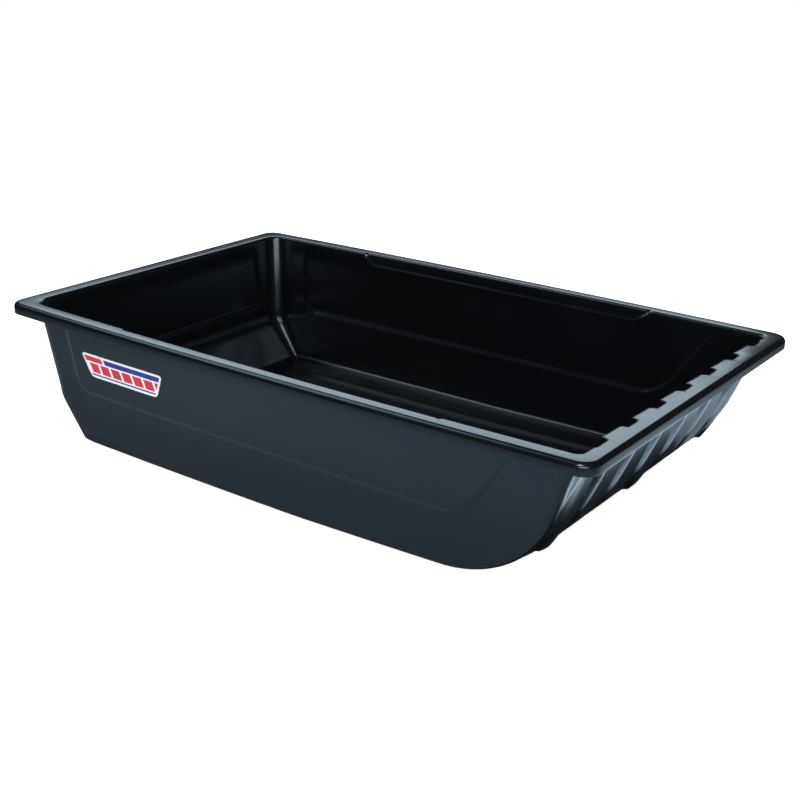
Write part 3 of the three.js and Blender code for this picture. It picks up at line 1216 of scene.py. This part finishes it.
    def loop(self, skin: Skin, row: int) -> Grid:
        """Follows one row of a skin all the way round.

        Args:
            skin: the skin.
            row: the row, counted from the rim.

        Returns:
            The row's four edges and four corners, in turn.
        """
        last = len(skin.sheet) - 1 - row
        near, far = skin.edges[Side.NEAR], skin.edges[Side.FAR]
        return [
            skin.sheet[row][::-1], near[row][1:-1],
            [column[row] for column in skin.walls[Side.NEAR]], near[last][1:-1][::-1],
            skin.sheet[last], far[last][1:-1],
            [column[row] for column in skin.walls[Side.FAR]][::-1], far[row][1:-1][::-1],
        ]

    def rim_places(self, loop: Grid) -> list[tuple[Vector, Vector]]:
        """Finds the rim's outline beside each spot of a loop.

        Args:
            loop: four edges and four corners of spots, in turn.

        Returns:
            The places on the outline with their outward directions.
        """
        end_x = self.rim.length / 2
        corner = self.rim.corner
        corner_x = end_x - corner
        corner_y = self.rim.width / 2 + self.bow_out(corner_x) - corner
        places: list[tuple[Vector, Vector]] = []
        for number, spots in enumerate(loop):
            turn, is_corner = divmod(number, 2)
            sign = -1 if turn < 2 else 1
            first, last = spots[0].co, spots[-1].co
            for i, s in enumerate(spots):
                if is_corner:
                    angle = RIGHT_ANGLE * (((turn + 2) % 4) + (i + 1) / self.steps.edge)
                    out = Vector((math.cos(angle), math.sin(angle), 0.0))
                    x, y = math.copysign(corner_x, out.x), math.copysign(corner_y, out.y)
                    places.append((Vector((x, y, 0.0)) + out * corner, out))
                elif turn % 2 == 0:
                    share = (s.co.y - first.y) / (last.y - first.y)
                    y = mix(-sign * corner_y, sign * corner_y, share)
                    places.append((Vector((sign * end_x, y, 0.0)), Vector((sign, 0.0, 0.0))))
                else:
                    share = (s.co.x - first.x) / (last.x - first.x)
                    x = mix(sign * corner_x, -sign * corner_x, share)
                    y = sign * min(self.rim.width / 2 + self.bow_out(x), self.rim.widest)
                    places.append((Vector((x, y, 0.0)), Vector((0.0, sign, 0.0))))
        return places

    def rim_rings(self, outer: Skin, inner: Skin) -> Grid:
        """Makes the rim's rings, from the tub's outside over the flange to its inside.

        Args:
            outer: the tub's outside.
            inner: the tub's inside.

        Returns:
            The rings, each closed by its first spot.
        """
        rim, wall = self.rim, self.tub.wall
        outside = self.loop(outer, 0)
        places = self.rim_places(outside)

        def ring(inset: float, depth: float) -> list[Spot]:
            """Makes a ring at an inset and a depth."""
            height = Vector((0.0, 0.0, self.tub.height - depth))
            return [Spot(place - out * inset + height) for place, out in places]

        def bend(centre: Span, radius: float, start: float, stop: float, steps: int) -> Grid:
            """Makes the rings of a round in the rim's section, angles from straight out."""
            turns = [mix(start, stop, i / steps) for i in range(steps + 1)]
            return [ring(centre[0] - radius * math.cos(a), centre[1] - radius * math.sin(a))
                    for a in turns]

        lip, shoulder, small = rim.lip, rim.inner_bend, rim.small_steps
        hollow = wall + shoulder
        rings = [[spot for part in outside for spot in part]]
        rings += bend((hollow, hollow), shoulder, RIGHT_ANGLE, 0.0, small)
        rings += bend((wall - lip, rim.skirt - lip), lip, 2 * RIGHT_ANGLE, 3 * RIGHT_ANGLE, small)
        rings += bend((lip, rim.skirt - lip), lip, 3 * RIGHT_ANGLE, 4 * RIGHT_ANGLE, small)
        rings += bend((rim.round, rim.round), rim.round, 0.0, RIGHT_ANGLE, rim.round_steps)
        top, below = ([spot for part in self.loop(inner, row) for spot in part] for row in (0, 1))
        flats, crossings = [], []
        for spot, lower, (_, out) in zip(top, below, places):
            reach = rim.inner / (spot.co.z - lower.co.z)
            crossings.append(spot.co + (spot.co - lower.co) * reach)
            flats.append(spot.moved(crossings[-1] + out * rim.inner))
        rings.append(flats)
        for share in spread(0.0, 1.0, rim.round_steps)[1:]:
            line = []
            for flat, crossing, spot in zip(flats, crossings, top):
                first = flat.co.lerp(crossing, share)
                second = crossing.lerp(spot.co, share)
                line.append(spot.moved(first.lerp(second, share)))
            rings.append(line)
        rings.append(top)
        return [line + [line[0]] for line in rings]

    @staticmethod
    def faces(rows: Grid, flip: bool) -> list[tuple[Spot, ...]]:
        """Joins a grid of spots into quads.

        Args:
            rows: the grid.
            flip: whether the quads face the other way.

        Returns:
            The quads.
        """
        made = []
        for upper, lower in zip(rows, rows[1:]):
            for i in range(len(upper) - 1):
                quad = (upper[i], upper[i + 1], lower[i + 1], lower[i])
                made.append(quad[::-1] if flip else quad)
        return made

    def quads(self) -> list[tuple[Spot, ...]]:
        """Makes the tub's faces.

        Returns:
            All quads of the two skins and the rim.
        """
        outer = self.skin(0.0, self.tub.wall)
        inner = self.skin(self.tub.wall, self.rim.inner)
        quads = []
        for skin, flip in ((outer, False), (inner, True)):
            quads += self.faces(skin.sheet, flip)
            quads += self.faces(skin.edges[Side.NEAR], not flip)
            quads += self.faces(skin.walls[Side.NEAR], flip)
            quads += self.faces(skin.edges[Side.FAR], flip)
            quads += self.faces(skin.walls[Side.FAR], not flip)
        return quads + self.faces(self.rim_rings(outer, inner), False)

    def mesh(self) -> bpy.types.Mesh:
        """Makes the closed mesh of the tub before its ribs.

        Returns:
            The mesh, with the rib values as attributes.
        """
        keys: dict[Place, int] = {}
        kept: list[Spot] = []
        faces = []
        for quad in self.quads():
            face = []
            for spot in quad:
                key = (round(spot.co.x, 7), round(spot.co.y, 7), round(spot.co.z, 7))
                if key not in keys:
                    keys[key] = len(kept)
                    kept.append(spot)
                face.append(keys[key])
            corners = list(dict.fromkeys(face))
            if len(corners) > 2:
                faces.append(corners)
        mesh = bpy.data.meshes.new("hull_moulding")
        mesh.from_pydata([tuple(s.co) for s in kept], [], faces)
        for name in RIB_VALUES:
            layer = mesh.attributes.new(name, "FLOAT", "POINT")
            layer.data.foreach_set("value", [getattr(s, name) for s in kept])
        layer = mesh.attributes.new("out", "FLOAT_VECTOR", "POINT")
        layer.data.foreach_set("vector", [value for s in kept for value in s.out])
        mesh.update()
        return mesh

    def build(self) -> None:
        """Makes the hull, presses its ribs, parents it to the root body and hides the CAD hull."""
        piece = bpy.data.objects.new("hull_moulding", self.mesh())
        bpy.context.scene.collection.objects.link(piece)
        RibPress(self.ribs).press(piece, self.plastic.build())
        for name in (*RIB_VALUES, "out"):
            piece.data.attributes.remove(piece.data.attributes[name])
        piece.data.shade_smooth()
        piece.data.set_sharp_from_angle(angle=self.steps.sharp)
        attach(piece, "root")
        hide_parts("hull")
        log.info("hull_moulding: %d faces", len(piece.data.polygons))


@dataclass(frozen=True)
class Decal:
    """The printed film on the near side."""

    film: PrintedFilm = field(default_factory=PrintedFilm)

    def dress(self) -> None:
        """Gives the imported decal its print."""
        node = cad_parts["side_decal"]
        node.data.materials.clear()
        node.data.materials.append(self.film.build())
        log.info("side_decal: %d faces", len(node.data.polygons))


@dataclass(frozen=True)
class Lamp:
    """One soft box."""

    name: str
    place: Place
    aim: Place
    size: Span
    power: float
    colour: Place = (1.0, 1.0, 1.0)

    def build(self) -> None:
        """Adds the lamp."""
        data = bpy.data.lights.new(self.name, "AREA")
        data.shape = "RECTANGLE"
        data.size, data.size_y = self.size
        data.energy = self.power
        data.color = self.colour
        lamp = bpy.data.objects.new(self.name, data)
        direction = Vector(self.aim) - Vector(self.place)
        turned = direction.to_track_quat("-Z", "Y").to_matrix().to_4x4()
        lamp.matrix_world = Matrix.Translation(Vector(self.place)) @ turned
        bpy.context.scene.collection.objects.link(lamp)
        log.info("%s: %.0f W", self.name, self.power)


@dataclass(frozen=True)
class Studio:
    """The pale floor, the soft light and the camera."""

    floor_size: float = 14.0
    floor_gap: float = 0.05 * MM
    floor_steps: int = 8
    floor_paint: StudioWhite = field(default_factory=StudioWhite)
    world: float = 0.35
    gloss: float = 0.05
    lamps: tuple[Lamp, ...] = (
        Lamp("back_box", (-1.65, 2.15, 1.70), (0.0, 0.0, 0.2), (3.0, 1.2), 31.0,
             (0.76, 0.92, 1.0)),
        Lamp("front_box", (0.78, -1.60, 1.95), (0.0, 0.0, 0.1), (0.7, 0.7), 30.0),
        Lamp("front_card", (1.75, -2.25, 0.80), (0.0, 0.0, 0.2), (2.0, 0.9), 36.0),
        Lamp("top_box", (-1.5, -0.75, 2.15), (0.0, 0.1, 0.1), (1.6, 1.6), 18.0),
    )
    camera_place: Place = (1.16641, -1.57822, 0.84625)
    camera_right: Place = (0.806252, 0.591356, 0.015994)
    camera_up: Place = (-0.223437, 0.279376, 0.933823)
    focal_share: float = 1285.19 / 800
    sensor: float = 36.0
    farthest: float = 100.0

    def floor(self) -> None:
        """Adds the floor, just under the ribs that the sled stands on."""
        half, steps = self.floor_size / 2, self.floor_steps
        line = [mix(-half, half, i / steps) for i in range(steps + 1)]
        places = [(x, y, -self.floor_gap) for y in line for x in line]
        width = steps + 1
        starts = [row * width + column for row in range(steps) for column in range(steps)]
        mesh = bpy.data.meshes.new("studio_floor")
        mesh.from_pydata(places, [], [(s, s + 1, s + width + 1, s + width) for s in starts])
        piece = bpy.data.objects.new("studio_floor", mesh)
        bpy.context.scene.collection.objects.link(piece)
        mesh.materials.append(self.floor_paint.build())
        log.info("studio_floor: %d faces", len(mesh.polygons))

    def sky(self) -> None:
        """Sets the world: white to the camera, dim as light, and dimmer still in gloss."""
        sky = ShaderTree(bpy.data.worlds.new("studio"), "ShaderNodeOutputWorld")
        light, shine, seen = (
            sky.add("ShaderNodeBackground", inputs={
                "Color": self.floor_paint.white, "Strength": strength})
            for strength in (self.world, self.gloss, 1.0))
        dim = sky.either(sky.ray("Is Glossy Ray"), light, shine)
        bpy.context.scene.world = sky.finish(sky.either(sky.ray("Is Camera Ray"), dim, seen))

    def camera(self) -> None:
        """Adds the camera at the photograph's place."""
        data = bpy.data.cameras.new("camera")
        data.sensor_fit = "HORIZONTAL"
        data.sensor_width = self.sensor
        data.lens = self.focal_share * self.sensor
        data.clip_end = self.farthest
        right, up = Vector(self.camera_right).normalized(), Vector(self.camera_up).normalized()
        turned = Matrix((right, up, right.cross(up))).transposed().to_4x4()
        camera = bpy.data.objects.new("camera", data)
        camera.matrix_world = Matrix.Translation(Vector(self.camera_place)) @ turned
        bpy.context.scene.collection.objects.link(camera)
        bpy.context.scene.camera = camera

    def build(self) -> None:
        """Adds the floor, the light and the camera."""
        self.camera()
        self.sky()
        self.floor()
        for lamp in self.lamps:
            lamp.build()
        bpy.context.scene.view_settings.view_transform = "Standard"


def main() -> None:
    """Builds the sled's looks in order."""
    logging.basicConfig(level=logging.INFO, format="%(message)s")
    Studio().build()
    Tub().build()
    Decal().dress()


if __name__ == "__main__":
    main()
